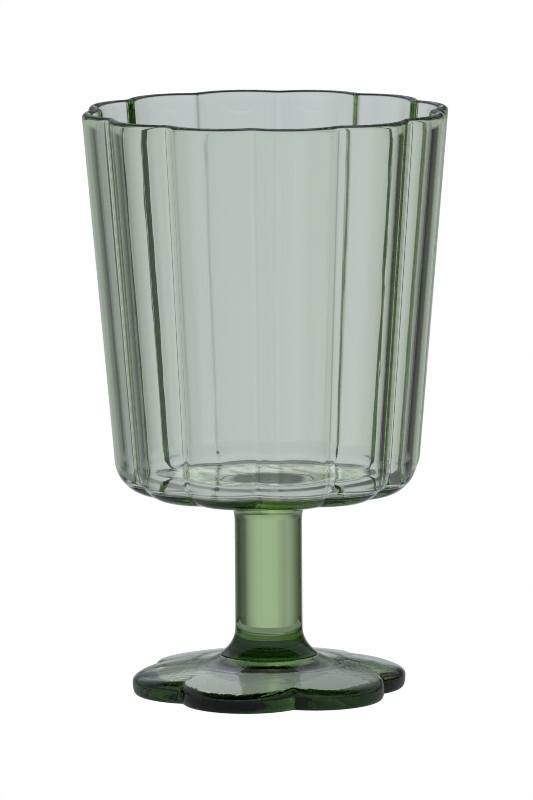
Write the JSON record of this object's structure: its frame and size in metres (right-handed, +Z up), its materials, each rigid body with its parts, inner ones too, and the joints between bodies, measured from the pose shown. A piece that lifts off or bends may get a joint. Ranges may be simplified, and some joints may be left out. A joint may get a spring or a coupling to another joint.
{
  "type": "stemmed drinking glass",
  "caption": "Short stemmed glass in pale green glass, with a fluted tapered bowl, a solid round stem and a thick flower-shaped foot.",
  "frame": {"origin": "on the table under the stem's axis, in the plane of the foot's resting ring", "axes": "+Z up through the stem to the rim; -Y is the side seen from the front"},
  "size_m": [0.0836, 0.0836, 0.1344],
  "materials": {
    "bowl_glass": "clear, fire-polished, tinted pale green in the mass",
    "stem_glass": "clear, fire-polished, the same green glass, deeper because it is solid",
    "foot_glass": "clear, pressed, the same green glass, darkest because it is the thickest piece"
  },
  "bodies": {
    "root": {"bowl": "bowl_glass", "stem": "stem_glass", "foot": "foot_glass"}
  },
  "joints": []
}
